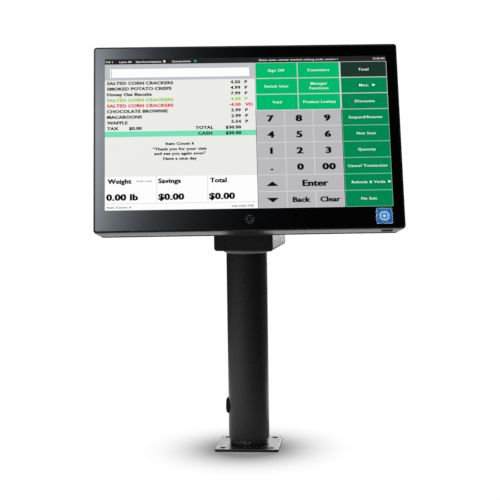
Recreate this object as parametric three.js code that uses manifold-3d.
// Counter touch terminal: a slim 14-inch touch head on a pan-and-tilt bracket, carried by a
// short welded steel pole whose square foot screws down to a counter.
// Millimetres, +Z up. The origin is on the pole's axis, on the underside of the foot.
// The screen faces -Y. The head is drawn in its own frame (x right, y back, z up the screen)
// whose origin is the tilt pivot, then tilted and turned into place.

import * as THREE from 'three';
import { mergeVertices } from 'three/addons/utils/BufferGeometryUtils.js';
import Module from 'manifold-3d';

const wasm = await Module();
wasm.setup();

// ---------------------------------------------------------------- driving sizes

const gap = 0.3; // between any two pieces that touch
const bleed = 1; // how far a cutter runs past the face it cuts
const cornerSteps = 3; // half the number of flats in a rounded corner

// Rest pose of the head
const panAngle = THREE.MathUtils.degToRad(7);
const tiltAngle = THREE.MathUtils.degToRad(22);
const pivotBehindPole = 14;
const pivotAboveBox = 82.9;

// Foot
const footSide = 71;
const footThickness = 3;
const footCorner = 2.5;
const footHoleSpacing = 54;
const footHoleRadius = 3.25;
const footWeldHeight = 5.3;
const footWeldInset = 0.9;

// Pole and its cable outlet
const poleRadius = 22.8;
const poleWall = 2;
const poleLength = 214.4;
const outletHeight = 46;
const outletRadius = 7;
const grommetBoreRadius = 4.8;
const grommetFlangeRadius = 10.2;
const grommetStandout = 2.3;

// Bracket box on top of the pole
const boxWidth = 66;
const boxHeight = 22;
const boxWall = 3;
const boxCorner = 3.4;
const boxFront = 31; // from the pole's axis to the closed front face
const boxBack = 48;
const boxTurn = THREE.MathUtils.degToRad(-6); // it is welded on a little askew to the foot
const boxShift = 2.4;
const boxCableHoleRadius = 16;
const topWeldHeight = 3.4;
const topWeldWidth = 3.4;

// Pan spindle, knuckle and tilt bolt
const neckRadius = 14;
const neckHeight = 46.1;
const journalRadius = 9;
const journalLength = 21;
const thrustWasherThickness = 1;
const knuckleRadius = 15;
const lugRadius = 17.5;
const lugWidth = 40;
const lockScrewRadius = 3;
const lockScrewDrop = 24.5; // below the tilt bolt
const tiltBoltRadius = 4;
const frictionWasherRadius = 15;
const frictionWasherThickness = 1.4;
const tiltWasherRadius = 8.5;
const tiltWasherThickness = 1.6;
const boltHeadRadius = 6.5;
const boltHeadHeight = 8;
const nutAcrossCorners = 15;
const nutHeight = 6.5;

// Plate between the knuckle and the head
const plateSide = 115;
const plateThickness = 3;
const plateCorner = 6;
const earThickness = 3;
const earRadius = 16;
const headHoleSpacing = 100;
const headScrewRadius = 1.9;
const headScrewHeadRadius = 4;
const headBossRadius = 5;
const headScrewHeadHeight = 2.4;

// Head: the display and the bezel around it
const displayWidth = 309.4;
const displayHeight = 174;
const bezelSide = 12.3;
const bezelTop = 14.5;
const bezelBottom = 25;
const lugClearance = 2.2; // between the knuckle's lug and the plate behind the head
const lipWidth = 1.3;
const glassThickness = 1.8;
const frameDepth = 15;
const frameWall = 2.2;
const frameCorner = 3.5;
const frameSideTaper = 3.5;
const ledgeThickness = 1.4;
const ledgeMargin = 1.4;
const sensorThickness = 0.5;
const panelMargin = 3.2;
const panelThickness = 4;
const chassisThickness = 1.2;
const shellThinDepth = 22;
const shellWall = 2;
const bulgeDepth = 34;
const bulgeWidth = 260;
const bulgeHeight = 146;
const bulgeRise = 7; // of the bulge's middle above the pivot
const bulgeCorner = 9;

// Vents and speaker slots
const ventCount = 23;
const ventWidth = 3;
const ventHeight = 14;
const ventPitch = 7.4;
const speakerSlotCount = 6;
const speakerSlotPitch = 5;

// Power button under the right-hand end
const buttonWidth = 12;
const buttonDepth = 6;
const buttonFromEdge = 13.4; // of its outer end, from the head's side
const buttonFromGlass = 5;
const buttonProud = 0.4;
const buttonTravel = 0.8;
const buttonFlange = 1.2;

// Electronics
const boardThickness = 1.6;
const boardWidth = 190;
const boardHeight = 100;
const boardRise = 12; // of the board's middle above the pivot
const boardDepth = 14; // from the glass to the board's front
const ioBoardWidth = 172;
const ioBoardHeight = 21;
const portHeight = 7;
const portLength = 15;
const socketDepth = 3.5;
const fanSide = 48;
const fanHeight = 9.2;
const rotorRadius = 18.5;
const bladeCount = 9;

// ---------------------------------------------------------------- sizes worked out

const footTop = footThickness;
const poleBottom = footTop + gap + footWeldHeight + gap;
const poleTop = poleBottom + poleLength;
const boxBottom = poleTop + gap;
const boxTop = boxBottom + boxHeight;
const pivotHeight = boxTop + pivotAboveBox;
const neckTop = boxTop + gap + neckHeight;
const journalTop = neckTop + journalLength;
const knuckleBottom = neckTop + thrustWasherThickness + 2 * gap;

const headWidth = displayWidth + 2 * bezelSide;
const headHeight = displayHeight + bezelTop + bezelBottom;
const headTop = headHeight / 2;
const displayRise = headTop - bezelTop - displayHeight / 2;
const plateBack = -(lugRadius + lugClearance);
const screenStandoff = bulgeDepth + gap + plateThickness - plateBack; // from the tilt pivot to the glass
const earStart = lugWidth / 2 + frictionWasherThickness + 2 * gap;
const earEnd = earStart + earThickness;

// ---------------------------------------------------------------- solids

// Closed three.js geometry to a solid, with its shared vertices merged.
function solidOf(geometry) {
  const bare = geometry.clone();
  bare.deleteAttribute('normal');
  bare.deleteAttribute('uv');
  const merged = mergeVertices(bare, 1e-4);
  const index = merged.index.array;
  const kept = [];
  for (let i = 0; i < index.length; i += 3) {
    const [a, b, c] = [index[i], index[i + 1], index[i + 2]];
    if (a !== b && b !== c && c !== a) kept.push(a, b, c);
  }
  const vertProperties = new Float32Array(merged.attributes.position.array);
  const triVerts = new Uint32Array(kept);
  return new wasm.Manifold(new wasm.Mesh({ numProp: 3, vertProperties, triVerts }));
}

function geometryOf(solid) {
  const mesh = solid.getMesh();
  const geometry = new THREE.BufferGeometry();
  geometry.setAttribute('position', new THREE.BufferAttribute(new Float32Array(mesh.vertProperties), 3));
  geometry.setIndex(new THREE.BufferAttribute(new Uint32Array(mesh.triVerts), 1));
  geometry.computeVertexNormals();
  return geometry;
}

function union(solids) {
  return solids.reduce((whole, solid) => whole.add(solid));
}

function cut(solid, cutters) {
  return cutters.reduce((rest, cutter) => rest.subtract(cutter), solid);
}

// Block between two opposite corners.
function block(low, high) {
  const size = high.map((value, i) => value - low[i]);
  const geometry = new THREE.BoxGeometry(...size);
  geometry.translate(...low.map((value, i) => value + size[i] / 2));
  return solidOf(geometry);
}

// Block of a given size whose middle is at a given place.
function blockAt(centre, size) {
  return block(
    centre.map((value, i) => value - size[i] / 2),
    centre.map((value, i) => value + size[i] / 2),
  );
}

// Number of flat sides that makes a circle of this radius look round.
function facets(radius) {
  if (radius < 3.5) return 12;
  if (radius < 7) return 18;
  return radius < 12 ? 24 : 36;
}

// Round bar between two places on one axis; centre holds the other two coordinates.
function rod(axis, centre, from, to, radius, sides = facets(radius)) {
  const geometry = new THREE.CylinderGeometry(radius, radius, to - from, sides);
  const middle = (from + to) / 2;
  if (axis === 'x') {
    geometry.rotateZ(-Math.PI / 2);
    geometry.translate(middle, centre[0], centre[1]);
  } else if (axis === 'y') {
    geometry.translate(centre[0], middle, centre[1]);
  } else {
    geometry.rotateX(Math.PI / 2);
    geometry.translate(centre[0], centre[1], middle);
  }
  return solidOf(geometry);
}

// Closed ring or turned piece about Z from an (r, z) outline that starts and ends together.
function turned(outline, x, y, sides = 48, lumps = () => 0) {
  const points = outline.map(([r, z]) => new THREE.Vector2(r, z));
  const geometry = new THREE.LatheGeometry(points, sides);
  geometry.rotateX(Math.PI / 2);
  const position = geometry.attributes.position;
  const innerRadius = Math.min(...outline.map(([r]) => r));
  for (let i = 0; i < position.count; i += 1) {
    const radius = Math.hypot(position.getX(i), position.getY(i));
    if (radius > innerRadius + gap) {
      const angle = Math.atan2(position.getY(i), position.getX(i));
      const scale = (radius + lumps(angle)) / radius;
      position.setX(i, position.getX(i) * scale);
      position.setY(i, position.getY(i) * scale);
    }
  }
  geometry.translate(x, y, 0);
  return solidOf(flipIfInsideOut(geometry));
}

// Turns every face over when the closed mesh encloses a negative volume.
function flipIfInsideOut(geometry) {
  const plain = geometry.index ? geometry.toNonIndexed() : geometry;
  const position = plain.attributes.position;
  const corners = [new THREE.Vector3(), new THREE.Vector3(), new THREE.Vector3()];
  let volume = 0;
  for (let i = 0; i < position.count; i += 3) {
    corners.forEach((corner, k) => corner.fromBufferAttribute(position, i + k));
    volume += corners[0].dot(corners[1].clone().cross(corners[2]));
  }
  if (volume < 0) {
    for (let i = 0; i < position.count; i += 3) {
      const first = new THREE.Vector3().fromBufferAttribute(position, i);
      const second = new THREE.Vector3().fromBufferAttribute(position, i + 1);
      position.setXYZ(i, second.x, second.y, second.z);
      position.setXYZ(i + 1, first.x, first.y, first.z);
    }
  }
  return plain;
}

// Rounded rectangle outline about (0, 0).
function roundedRectangle(width, height, radius) {
  const [x, y] = [width / 2, height / 2];
  const shape = new THREE.Shape();
  shape.moveTo(-x + radius, -y);
  shape.lineTo(x - radius, -y);
  shape.absarc(x - radius, -y + radius, radius, -Math.PI / 2, 0);
  shape.lineTo(x, y - radius);
  shape.absarc(x - radius, y - radius, radius, 0, Math.PI / 2);
  shape.lineTo(-x + radius, y);
  shape.absarc(-x + radius, y - radius, radius, Math.PI / 2, Math.PI);
  shape.lineTo(-x, -y + radius);
  shape.absarc(-x + radius, -y + radius, radius, Math.PI, Math.PI * 1.5);
  return shape;
}

function extrude(shape, depth) {
  return new THREE.ExtrudeGeometry(shape, { depth, bevelEnabled: false, curveSegments: cornerSteps });
}

// Rounded slab facing along Y: from yFrom to yTo, middle at (x, z).
function slabY(width, height, radius, yFrom, yTo, x = 0, z = 0) {
  const shape = roundedRectangle(width, height, radius);
  const geometry = extrude(shape, yTo - yFrom);
  geometry.rotateX(Math.PI / 2);
  geometry.translate(x, yTo, z);
  return solidOf(geometry);
}

// Rounded slab facing along Z.
function slabZ(width, depth, radius, zFrom, zTo) {
  const shape = roundedRectangle(width, depth, radius);
  const geometry = extrude(shape, zTo - zFrom);
  geometry.translate(0, 0, zFrom);
  return solidOf(geometry);
}

// Smooth-sided body through rounded rectangles at growing distances behind the glass.
// Each section is { depth, width, height, radius }; z is the height of their middles.
function loft(sections, z = 0) {
  const rings = sections.map((section) => {
    const shape = roundedRectangle(section.width, section.height, section.radius);
    const outline = shape.extractPoints(cornerSteps).shape;
    return outline.map((point) => [point.x, section.depth - screenStandoff, point.y + z]);
  });
  const count = rings[0].length;
  const vertices = rings.flat().flat();
  const index = [];
  for (let ring = 0; ring + 1 < rings.length; ring += 1) {
    for (let i = 0; i < count; i += 1) {
      const next = (i + 1) % count;
      const [a, b] = [ring * count + i, ring * count + next];
      index.push(a, b, a + count, b, b + count, a + count);
    }
  }
  const last = (rings.length - 1) * count;
  for (let i = 1; i + 1 < count; i += 1) {
    index.push(0, i + 1, i);
    index.push(last, last + i, last + i + 1);
  }
  const geometry = new THREE.BufferGeometry();
  geometry.setAttribute('position', new THREE.BufferAttribute(new Float32Array(vertices), 3));
  geometry.setIndex(index);
  return solidOf(flipIfInsideOut(geometry));
}

// ---------------------------------------------------------------- the assembly tree

const terminal = new THREE.Group();
const boxFrame = new THREE.Group();
const panFrame = new THREE.Group();
const headFrame = new THREE.Group();
boxFrame.position.set(boxShift, 0, 0);
boxFrame.rotation.z = boxTurn;
panFrame.position.set(0, pivotBehindPole, 0);
panFrame.rotation.z = panAngle;
headFrame.position.set(0, 0, pivotHeight);
headFrame.rotation.x = -tiltAngle;
terminal.add(boxFrame, panFrame);
panFrame.add(headFrame);

const finishes = {
  powderCoat: { color: 0x151517, roughness: 0.42, metalness: 0.1 },
  weld: { color: 0x1b1b1d, roughness: 0.5, metalness: 0.3 },
  rubber: { color: 0x0d0d0e, roughness: 0.8, metalness: 0 },
  steel: { color: 0x9a9da1, roughness: 0.35, metalness: 0.9 },
  blackSteel: { color: 0x2a2b2d, roughness: 0.45, metalness: 0.7 },
  nylon: { color: 0xd8d8d0, roughness: 0.55, metalness: 0 },
  frame: { color: 0x2b2c2f, roughness: 0.4, metalness: 0.2 },
  shell: { color: 0x1e1f21, roughness: 0.55, metalness: 0 },
  glass: { color: 0x050506, roughness: 0.05, metalness: 0 },
  panel: { color: 0x2e3338, roughness: 0.3, metalness: 0.1 },
  board: { color: 0x14502e, roughness: 0.55, metalness: 0 },
  chip: { color: 0x1a1a1c, roughness: 0.4, metalness: 0 },
  aluminium: { color: 0xb4b7ba, roughness: 0.4, metalness: 0.9 },
};

function addPiece(parent, name, solid, finish) {
  const mesh = new THREE.Mesh(geometryOf(solid), new THREE.MeshStandardMaterial(finishes[finish]));
  mesh.name = name;
  parent.add(mesh);
}

// ---------------------------------------------------------------- stand

function makeFoot() {
  const half = footHoleSpacing / 2;
  const holes = [];
  for (const x of [-half, half]) {
    for (const y of [-half, half]) {
      holes.push(rod('z', [x, y], -bleed, footTop + bleed, footHoleRadius));
    }
  }
  const plate = slabZ(footSide, footSide, footCorner, 0, footTop);
  addPiece(terminal, 'base_plate', cut(plate, holes), 'powderCoat');

  const outer = poleRadius - footWeldInset;
  const inner = poleRadius - poleWall;
  const bottom = footTop + gap;
  const outline = [
    [inner, bottom],
    [outer, bottom],
    [outer, bottom + footWeldHeight],
    [inner, bottom + footWeldHeight],
    [inner, bottom],
  ];
  const lumps = (angle) => 0.35 * Math.sin(angle * 12) + 0.2 * Math.sin(angle * 5 + 1);
  addPiece(terminal, 'base_weld', turned(outline, 0, 0, 48, lumps), 'weld');
}

function makePole() {
  const bore = rod('z', [0, 0], poleBottom - bleed, poleTop + bleed, poleRadius - poleWall);
  const outlet = rod('x', [0, outletHeight], -poleRadius - bleed, 0, outletRadius);
  const tube = rod('z', [0, 0], poleBottom, poleTop, poleRadius);
  addPiece(terminal, 'pole', cut(tube, [bore, outlet]), 'powderCoat');
}

function makeGrommet() {
  const centre = [0, outletHeight];
  const inside = -(poleRadius - poleWall);
  const outerSeat = rod('z', [0, 0], 0, poleTop, poleRadius + gap);
  const innerSeat = rod('z', [0, 0], 0, poleTop, poleRadius - poleWall - gap);
  const flange = rod('x', centre, -poleRadius - grommetStandout, inside, grommetFlangeRadius);
  const neck = rod('x', centre, -poleRadius - bleed, inside + 1.6, outletRadius - gap);
  const inner = rod('x', centre, inside - bleed, inside + 3, outletRadius + 1.4);
  const body = union([cut(flange, [outerSeat]), neck, inner.intersect(innerSeat)]);
  const bore = rod('x', centre, -poleRadius - grommetStandout - bleed, inside + 3 + bleed, grommetBoreRadius);
  addPiece(terminal, 'cable_grommet', cut(body, [bore]), 'rubber');
}

function makeBracketBox() {
  const middle = boxBottom + boxHeight / 2;
  const front = -boxFront + boxWall + gap;
  const tube = slabY(boxWidth, boxHeight, boxCorner, front, boxBack, 0, middle);
  const hollow = slabY(
    boxWidth - 2 * boxWall,
    boxHeight - 2 * boxWall,
    boxCorner - boxWall,
    front - bleed,
    boxBack + bleed,
    0,
    middle,
  );
  const poleAxis = new THREE.Vector3(-boxShift, 0, 0).applyAxisAngle(new THREE.Vector3(0, 0, 1), -boxTurn);
  const holeTop = boxBottom + boxWall + bleed;
  const cableHole = rod('z', [poleAxis.x, poleAxis.y], boxBottom - bleed, holeTop, boxCableHoleRadius);
  addPiece(boxFrame, 'bracket_box', cut(tube, [hollow, cableHole]), 'powderCoat');
  const cap = slabY(boxWidth, boxHeight, boxCorner, -boxFront, -boxFront + boxWall, 0, middle);
  addPiece(boxFrame, 'box_end_cap', cap, 'powderCoat');
}

// Three-sided bead that fills the corner between an upright round wall and a flat face.
function makeBead(name, x, y, wallRadius, width, faceHeight, beadHeight, parent) {
  const inner = wallRadius + gap;
  const outline = [
    [inner, faceHeight],
    [inner + width, faceHeight],
    [inner + width * 0.72, faceHeight + beadHeight * 0.6],
    [inner, faceHeight + beadHeight],
    [inner, faceHeight],
  ];
  const lumps = (angle) => 0.3 * Math.sin(angle * 14) + 0.3 * Math.sin(angle * 5 + 2);
  addPiece(parent, name, turned(outline, x, y, 56, lumps), 'weld');
}

function makeSpindle() {
  const bottom = boxTop + gap;
  const chamfer = 1.5;
  const outline = [
    [0, bottom],
    [neckRadius, bottom],
    [neckRadius, neckTop],
    [journalRadius, neckTop],
    [journalRadius, journalTop - chamfer],
    [journalRadius - chamfer, journalTop],
    [0, journalTop],
  ];
  addPiece(terminal, 'spindle', turned(outline, 0, pivotBehindPole, 40), 'powderCoat');
}

// ---------------------------------------------------------------- pan knuckle

function ring(outerRadius, innerRadius, axis, centre, from, to) {
  const outer = rod(axis, centre, from, to, outerRadius);
  return cut(outer, [rod(axis, centre, from - bleed, to + bleed, innerRadius)]);
}

function makeKnuckle() {
  const washerBottom = neckTop + gap;
  const washerTop = washerBottom + thrustWasherThickness;
  const washer = ring(knuckleRadius - 1, journalRadius + gap, 'z', [0, 0], washerBottom, washerTop);
  addPiece(panFrame, 'thrust_washer', washer, 'nylon');

  const lockHeight = pivotHeight - lockScrewDrop;
  const stem = rod('z', [0, 0], knuckleBottom, pivotHeight, knuckleRadius);
  const lug = rod('x', [0, pivotHeight], -lugWidth / 2, lugWidth / 2, lugRadius);
  const journalBore = rod('z', [0, 0], knuckleBottom - bleed, journalTop + 2, journalRadius + gap);
  const boltBore = rod('x', [0, pivotHeight], -lugWidth, lugWidth, tiltBoltRadius + gap);
  const screwBore = rod('y', [0, lockHeight], 0, knuckleRadius + bleed, lockScrewRadius + gap);
  addPiece(panFrame, 'knuckle', cut(union([stem, lug]), [journalBore, boltBore, screwBore]), 'powderCoat');

  const tip = journalRadius + 2 * gap;
  const headFrom = knuckleRadius + gap;
  const shank = rod('y', [0, lockHeight], tip, headFrom + 1, lockScrewRadius);
  const head = rod('y', [0, lockHeight], headFrom, headFrom + 5, 5);
  const socket = rod('y', [0, lockHeight], headFrom + 2, headFrom + 6, 2.5, 6);
  addPiece(panFrame, 'pan_lock_screw', cut(union([shank, head]), [socket]), 'blackSteel');
}

function makeTiltBolt() {
  const centre = [0, pivotHeight];
  const washerFrom = earEnd + gap;
  const washerTo = washerFrom + tiltWasherThickness;
  const frictionFrom = lugWidth / 2 + gap;
  for (const [side, sign] of [['left', -1], ['right', 1]]) {
    const span = (from, to) => (sign > 0 ? [from, to] : [-to, -from]);
    const bore = tiltBoltRadius + gap;
    const [pad0, pad1] = span(frictionFrom, frictionFrom + frictionWasherThickness);
    const pad = ring(frictionWasherRadius, bore, 'x', centre, pad0, pad1);
    addPiece(panFrame, `friction_washer_${side}`, pad, 'nylon');
    const [washer0, washer1] = span(washerFrom, washerTo);
    const washer = ring(tiltWasherRadius, bore, 'x', centre, washer0, washer1);
    addPiece(panFrame, `tilt_washer_${side}`, washer, 'steel');
  }

  const headFrom = washerTo + gap;
  const nutFrom = washerTo + gap;
  const shank = rod('x', centre, -nutFrom - nutHeight - 1.5, headFrom + 1, tiltBoltRadius);
  const head = rod('x', centre, headFrom, headFrom + boltHeadHeight, boltHeadRadius);
  const socket = rod('x', centre, headFrom + 4, headFrom + boltHeadHeight + bleed, 3.4, 6);
  addPiece(panFrame, 'tilt_bolt', cut(union([shank, head]), [socket]), 'blackSteel');

  const nut = rod('x', centre, -nutFrom - nutHeight, -nutFrom, nutAcrossCorners / 2, 6);
  const nutBore = rod('x', centre, -nutFrom - nutHeight - bleed, -nutFrom + bleed, tiltBoltRadius + gap);
  addPiece(panFrame, 'tilt_nut', cut(nut, [nutBore]), 'blackSteel');
}

// ---------------------------------------------------------------- head: plate and screws

// Distance behind the glass as a y in the head's frame.
function behindGlass(depth) {
  return depth - screenStandoff;
}

function squareCorners(spacing) {
  const half = spacing / 2;
  return [[-half, half], [half, half], [-half, -half], [half, -half]];
}

function makeTiltPlate() {
  const front = plateBack - plateThickness;
  const plate = slabY(plateSide, plateSide, plateCorner, front, plateBack);
  const pieces = [plate];
  for (const x of [earStart, -earEnd]) {
    const web = block([x, plateBack - 1, -earRadius], [x + earThickness, 0, earRadius]);
    pieces.push(web, rod('x', [0, 0], x, x + earThickness, earRadius));
  }
  const cutters = [rod('x', [0, 0], -earEnd - bleed, earEnd + bleed, tiltBoltRadius + gap)];
  squareCorners(headHoleSpacing).forEach(([x, z], i) => {
    cutters.push(rod('y', [x, z], front - bleed, plateBack + bleed, headScrewRadius + gap));
    const headFrom = plateBack + gap;
    const shank = rod('y', [x, z], behindGlass(bulgeDepth - 6), headFrom + 1, headScrewRadius);
    const head = rod('y', [x, z], headFrom, headFrom + headScrewHeadHeight, headScrewHeadRadius);
    const slot = rod('y', [x, z], headFrom + 1.2, headFrom + headScrewHeadHeight + bleed, 1.6, 6);
    addPiece(headFrame, `mount_screw_${i + 1}`, cut(union([shank, head]), [slot]), 'steel');
  });
  addPiece(headFrame, 'tilt_plate', cut(union(pieces), cutters), 'powderCoat');
}

// ---------------------------------------------------------------- head: casing

// Four posts of the front frame that take the rear shell's screws, clear of the panel.
const postRadius = 3.6;
const postX = headWidth / 2 - 46;
const postZ = headTop - 10.5;
const postPlaces = [[-postX, postZ], [postX, postZ], [-postX, -postZ], [postX, -postZ]];
const postStart = glassThickness + ledgeThickness + panelThickness + chassisThickness + 4 * gap + 0.6;
const shellScrewRadius = 1.4;
const shellScrewHeadRadius = 2.9;
const shellScrewHeadHeight = 1.8;
const shellScrewTip = postStart + 1.5;

function makeFrontFrame() {
  const ledgeFront = glassThickness + gap;
  const sections = [
    { depth: 0, width: headWidth, height: headHeight, radius: frameCorner },
    { depth: 3, width: headWidth, height: headHeight, radius: frameCorner },
    {
      depth: frameDepth,
      width: headWidth - 2 * frameSideTaper,
      height: headHeight,
      radius: frameCorner + 2,
    },
  ];
  const inner = sections.map((section) => ({
    depth: section.depth,
    width: section.width - 2 * frameWall,
    height: section.height - 2 * frameWall,
    radius: section.radius - 1,
  }));
  inner[0].depth = ledgeFront + ledgeThickness;
  inner[1].depth = ledgeFront + ledgeThickness + 1;
  inner[2].depth = frameDepth + bleed;
  const lip = slabY(
    headWidth - 2 * lipWidth,
    headHeight - 2 * lipWidth,
    frameCorner - lipWidth,
    behindGlass(-bleed),
    behindGlass(ledgeFront),
  );
  const window = slabY(
    displayWidth + 2 * ledgeMargin,
    displayHeight + 2 * ledgeMargin,
    0.5,
    behindGlass(0),
    behindGlass(frameDepth),
    0,
    displayRise,
  );
  const posts = postPlaces.map(([x, z]) => {
    const wallZ = Math.sign(z) * (headTop - frameWall + 1);
    const foot = block(
      [x - postRadius, behindGlass(postStart), Math.min(z, wallZ)],
      [x + postRadius, behindGlass(frameDepth), Math.max(z, wallZ)],
    );
    return union([foot, rod('y', [x, z], behindGlass(postStart), behindGlass(frameDepth), postRadius)]);
  });
  const boreFrom = behindGlass(shellScrewTip - 1);
  const boreTo = behindGlass(frameDepth + bleed);
  const bores = postPlaces.map(([x, z]) => rod('y', [x, z], boreFrom, boreTo, shellScrewRadius + gap));
  const buttonSlot = blockAt(
    [buttonLeft + buttonWidth / 2, behindGlass(buttonFromGlass + buttonDepth / 2), -headTop + frameWall / 2],
    [buttonWidth + 2 * gap, buttonDepth + 2 * gap, frameWall + 2 * bleed],
  );
  const casing = cut(loft(sections), [loft(inner), lip]);
  const body = cut(union([casing, ...posts]), [window, ...bores, buttonSlot]);
  addPiece(headFrame, 'front_frame', body, 'frame');
}

function makeRearShell() {
  const start = frameDepth + gap;
  const backWidth = headWidth - 2 * frameSideTaper;
  const outer = loft([
    { depth: start, width: backWidth - 0.6, height: headHeight - 0.6, radius: frameCorner + 2 },
    { depth: shellThinDepth - 2.4, width: backWidth - 2.4, height: headHeight - 1, radius: frameCorner + 2 },
    { depth: shellThinDepth - 1, width: backWidth - 4, height: headHeight - 3, radius: frameCorner + 2 },
    { depth: shellThinDepth, width: backWidth - 7, height: headHeight - 6, radius: frameCorner + 1 },
  ]);
  const inner = loft([
    { depth: start - bleed, width: backWidth - 5, height: headHeight - 5, radius: frameCorner },
    { depth: shellThinDepth - 3, width: backWidth - 8, height: headHeight - 8, radius: frameCorner },
    {
      depth: shellThinDepth - shellWall,
      width: backWidth - 12,
      height: headHeight - 12,
      radius: frameCorner,
    },
  ]);
  const bulge = loft([
    { depth: shellThinDepth - 1, width: bulgeWidth, height: bulgeHeight, radius: bulgeCorner },
    { depth: bulgeDepth - 3, width: bulgeWidth - 4, height: bulgeHeight, radius: bulgeCorner },
    { depth: bulgeDepth - 0.8, width: bulgeWidth - 6, height: bulgeHeight - 2, radius: bulgeCorner },
    { depth: bulgeDepth, width: bulgeWidth - 9, height: bulgeHeight - 5, radius: bulgeCorner - 1 },
  ], bulgeRise);
  const bulgeInner = loft([
    {
      depth: shellThinDepth - shellWall - bleed,
      width: bulgeWidth - 2 * shellWall - 2,
      height: bulgeHeight - 2 * shellWall,
      radius: bulgeCorner - shellWall,
    },
    {
      depth: bulgeDepth - shellWall,
      width: bulgeWidth - 2 * shellWall - 7,
      height: bulgeHeight - 2 * shellWall - 3,
      radius: bulgeCorner - shellWall,
    },
  ], bulgeRise);
  const solids = [cut(union([outer, bulge]), [inner, bulgeInner])];
  const cutters = [];

  for (const [x, z] of squareCorners(headHoleSpacing)) {
    const bulgeBack = behindGlass(bulgeDepth);
    solids.push(rod('y', [x, z], bulgeBack - 8, bulgeBack - 1, headBossRadius));
    cutters.push(rod('y', [x, z], bulgeBack - 7, bulgeBack + bleed, headScrewRadius + gap));
  }
  for (const [x, z] of postPlaces) {
    const back = behindGlass(shellThinDepth);
    const seat = back - shellScrewHeadHeight - gap;
    solids.push(rod('y', [x, z], back - 5, back - 0.5, shellScrewHeadRadius + 1));
    cutters.push(rod('y', [x, z], seat, back + bleed, shellScrewHeadRadius + gap));
    cutters.push(rod('y', [x, z], back - 6, seat + bleed, shellScrewRadius + gap));
  }
  const ventMiddle = bulgeRise + bulgeHeight / 2 - 11;
  for (let i = 0; i < ventCount; i += 1) {
    const x = (i - (ventCount - 1) / 2) * ventPitch;
    cutters.push(blockAt([x, behindGlass(bulgeDepth), ventMiddle], [ventWidth, 3 * shellWall, ventHeight]));
  }
  for (const side of [-1, 1]) {
    for (let i = 0; i < speakerSlotCount; i += 1) {
      const x = side * speakerX + (i - (speakerSlotCount - 1) / 2) * speakerSlotPitch;
      const centre = [x, behindGlass(shellThinDepth), speakerZ];
      cutters.push(blockAt(centre, [1.6, 3 * shellWall, 9]));
    }
  }
  for (const port of ports) {
    cutters.push(blockAt(
      [port.x, portMiddleY, -headBulgeBottom],
      [port.width + 2 * gap, portHeight + 2 * gap, 5 * shellWall],
    ));
  }
  addPiece(headFrame, 'rear_shell', cut(union(solids), cutters), 'shell');

  postPlaces.forEach(([x, z], i) => {
    const back = behindGlass(shellThinDepth);
    const headFrom = back - shellScrewHeadHeight;
    const shank = rod('y', [x, z], behindGlass(shellScrewTip), headFrom + 1, shellScrewRadius);
    const head = rod('y', [x, z], headFrom, back - gap, shellScrewHeadRadius);
    addPiece(headFrame, `rear_shell_screw_${i + 1}`, union([shank, head]), 'blackSteel');
  });
}

// ---------------------------------------------------------------- head: screen stack

function makeScreen() {
  const glassEdge = lipWidth + gap;
  addPiece(
    headFrame,
    'cover_glass',
    slabY(
      headWidth - 2 * glassEdge,
      headHeight - 2 * glassEdge,
      frameCorner - glassEdge,
      behindGlass(0),
      behindGlass(glassThickness),
    ),
    'glass',
  );
  const sensorFront = behindGlass(glassThickness + gap);
  const sensorMargin = ledgeMargin - gap;
  const sensor = blockAt(
    [0, sensorFront + sensorThickness / 2, displayRise],
    [displayWidth + 2 * sensorMargin, sensorThickness, displayHeight + 2 * sensorMargin],
  );
  addPiece(headFrame, 'touch_sensor', sensor, 'glass');

  const panelFront = behindGlass(glassThickness + ledgeThickness + 2 * gap);
  const panelSize = [displayWidth + 2 * panelMargin, panelThickness, displayHeight + 2 * panelMargin];
  const panel = blockAt([0, panelFront + panelThickness / 2, displayRise], panelSize);
  addPiece(headFrame, 'lcd_panel', panel, 'panel');

  const chassisFront = panelFront + panelThickness + gap;
  const chassisBack = chassisFront + chassisThickness;
  const plate = blockAt(
    [0, chassisFront + chassisThickness / 2, displayRise],
    [displayWidth + panelMargin, chassisThickness, displayHeight + panelMargin],
  );
  const standoffs = squareCorners(boardHeight - 10).map(([x, z]) =>
    rod('y', [x * 1.9, z + boardRise], chassisBack - 0.5, behindGlass(boardDepth) - gap, 3));
  addPiece(headFrame, 'chassis_plate', union([plate, ...standoffs]), 'steel');
}

// ---------------------------------------------------------------- head: electronics

const boardBack = behindGlass(boardDepth + boardThickness);
const headBulgeBottom = bulgeHeight / 2 - bulgeRise;
const ioBoardBack = behindGlass(bulgeDepth - shellWall - portHeight - 1.6 - gap);
const portMiddleY = ioBoardBack + gap + portHeight / 2;
const speakerX = 82;
const speakerZ = -headTop + frameWall + 10;
const ports = [
  { name: 'power_inlet', x: -68, width: 10, socketWidth: 6, socketHeight: 5 },
  { name: 'network_port', x: -31, width: 16, socketWidth: 12, socketHeight: 5.4 },
  { name: 'data_port_1', x: -10, width: 14, socketWidth: 12, socketHeight: 3.6 },
  { name: 'data_port_2', x: 8, width: 14, socketWidth: 12, socketHeight: 3.6 },
  { name: 'video_port', x: 28, width: 15, socketWidth: 13, socketHeight: 3.6 },
];

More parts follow.
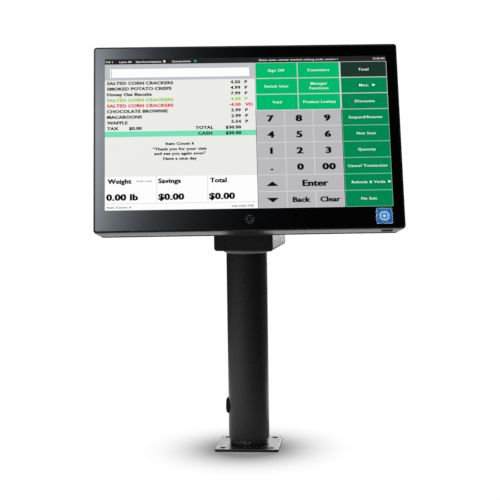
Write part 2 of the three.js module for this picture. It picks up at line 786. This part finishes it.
function makeBoards() {
  const board = blockAt(
    [0, behindGlass(boardDepth + boardThickness / 2), boardRise],
    [boardWidth, boardThickness, boardHeight],
  );
  addPiece(headFrame, 'mainboard', board, 'board');

  const ioRise = -headBulgeBottom + shellWall + 1 + ioBoardHeight / 2;
  const ioBoard = blockAt(
    [0, ioBoardBack - boardThickness / 2, ioRise],
    [ioBoardWidth, boardThickness, ioBoardHeight],
  );
  addPiece(headFrame, 'io_board', ioBoard, 'board');

  const mouth = -headBulgeBottom + 0.4;
  for (const port of ports) {
    const body = blockAt([port.x, portMiddleY, mouth + portLength / 2], [port.width, portHeight, portLength]);
    const size = [port.socketWidth, port.socketHeight, 2 * socketDepth];
    const socket = port.name === 'power_inlet'
      ? rod('z', [port.x, portMiddleY], mouth - bleed, mouth + socketDepth, port.socketWidth / 2)
      : blockAt([port.x, portMiddleY, mouth], size);
    addPiece(headFrame, port.name, cut(body, [socket]), port.name === 'power_inlet' ? 'chip' : 'steel');
  }

  const cards = [
    { name: 'processor', x: -15, z: 24, size: [36, 3, 36], finish: 'chip' },
    { name: 'memory_module', x: -77, z: 24, size: [30, 3.4, 68], finish: 'board' },
    { name: 'storage_module', x: -15, z: -24, size: [80, 2.6, 22], finish: 'board' },
    { name: 'wireless_card', x: 60, z: -24, size: [30, 2.4, 22], finish: 'board' },
  ];
  for (const card of cards) {
    const y = boardBack + gap + card.size[1] / 2;
    addPiece(headFrame, card.name, blockAt([card.x, y, card.z], card.size), card.finish);
  }
  makeHeatsink(cards[0]);
  for (const [side, sign] of [['left', -1], ['right', 1]]) {
    const box = blockAt([sign * speakerX, behindGlass(14.5), speakerZ], [42, 8, 12]);
    const cone = rod('y', [sign * speakerX, speakerZ], behindGlass(17.5), behindGlass(19), 4.6);
    addPiece(headFrame, `speaker_${side}`, cut(box, [cone]), 'chip');
  }
}

function makeHeatsink(processor) {
  const [finCount, finThickness, finHeight, baseThickness] = [11, 1.2, 4, 2];
  const [width, height] = [80, 58];
  const baseFront = boardBack + processor.size[1] + 2 * gap;
  const finFront = baseFront + baseThickness;
  const pieces = [block(
    [processor.x - width / 2, baseFront, processor.z - height / 2],
    [processor.x + width / 2, finFront, processor.z + height / 2],
  )];
  for (let i = 0; i < finCount; i += 1) {
    const x = processor.x + (i / (finCount - 1) - 0.5) * (width - finThickness);
    pieces.push(block(
      [x - finThickness / 2, finFront - 0.5, processor.z - height / 2],
      [x + finThickness / 2, finFront + finHeight, processor.z + height / 2],
    ));
  }
  addPiece(headFrame, 'heatsink', union(pieces), 'aluminium');
}

function makeFan() {
  const [x, z] = [66, 30];
  const front = boardBack + gap;
  const cavity = rod('y', [x, z], front + 1, front + fanHeight + bleed, rotorRadius + 1.5);
  const outlet = block([x - 14, front + 1, z], [x + 14, front + fanHeight - 1, z + fanSide / 2 + bleed]);
  const body = blockAt([x, front + fanHeight / 2, z], [fanSide, fanHeight, fanSide]);
  const bearing = rod('y', [x, z], front + 0.5, front + 2, 4);
  addPiece(headFrame, 'fan_housing', union([cut(body, [cavity, outlet]), bearing]), 'chip');

  const hubFront = front + 2 + gap;
  const hubBack = front + fanHeight - 0.8;
  const blades = [rod('y', [x, z], hubFront, hubBack, 8)];
  for (let i = 0; i < bladeCount; i += 1) {
    const geometry = new THREE.BoxGeometry(rotorRadius - 6, hubBack - hubFront - 1, 1);
    geometry.translate((rotorRadius + 6) / 2, 0, 0);
    geometry.rotateY((i * 2 * Math.PI) / bladeCount);
    geometry.translate(x, (hubFront + hubBack) / 2, z);
    blades.push(solidOf(geometry));
  }
  addPiece(headFrame, 'fan_rotor', union(blades), 'chip');
}

// ---------------------------------------------------------------- head: power button

const buttonLeft = headWidth / 2 - buttonFromEdge - buttonWidth;

function makePowerButton() {
  const wallInside = -headTop + frameWall;
  const middleX = buttonLeft + buttonWidth / 2;
  const middleY = behindGlass(buttonFromGlass + buttonDepth / 2);
  const flangeTop = wallInside + gap + 1;
  const cap = block(
    [buttonLeft, behindGlass(buttonFromGlass), -headTop - buttonProud],
    [buttonLeft + buttonWidth, behindGlass(buttonFromGlass + buttonDepth), flangeTop],
  );
  const flange = blockAt(
    [middleX, middleY, flangeTop - 0.5],
    [buttonWidth + 2 * buttonFlange, buttonDepth + 2 * buttonFlange - 0.6, 1],
  );
  const nub = rod('z', [middleX, middleY], flangeTop - 0.5, flangeTop + 0.7, 1.5);
  addPiece(headFrame, 'power_button', union([cap, flange, nub]), 'shell');

  const switchBottom = flangeTop + 0.7 + buttonTravel + gap;
  const switchTop = switchBottom + 3.4;
  const body = block([middleX - 3, middleY - 3, switchBottom], [middleX + 3, middleY + 3, switchTop]);
  addPiece(headFrame, 'power_switch', body, 'steel');
  const board = block(
    [middleX - 12, middleY - 4, switchTop + gap],
    [middleX + 8, middleY + 4, switchTop + gap + 1.2],
  );
  addPiece(headFrame, 'button_board', board, 'board');
}

// ---------------------------------------------------------------- build

makeFoot();
makePole();
makeGrommet();
makeBead('top_weld', 0, 0, poleRadius, topWeldWidth, boxBottom - gap, -topWeldHeight, terminal);
makeBracketBox();
makeSpindle();
makeBead('spindle_weld', 0, pivotBehindPole, neckRadius, 3, boxTop + gap, 3, terminal);
makeKnuckle();
makeTiltBolt();
makeTiltPlate();
makeFrontFrame();
makeRearShell();
makeScreen();
makeBoards();
makeFan();
makePowerButton();

export default terminal;
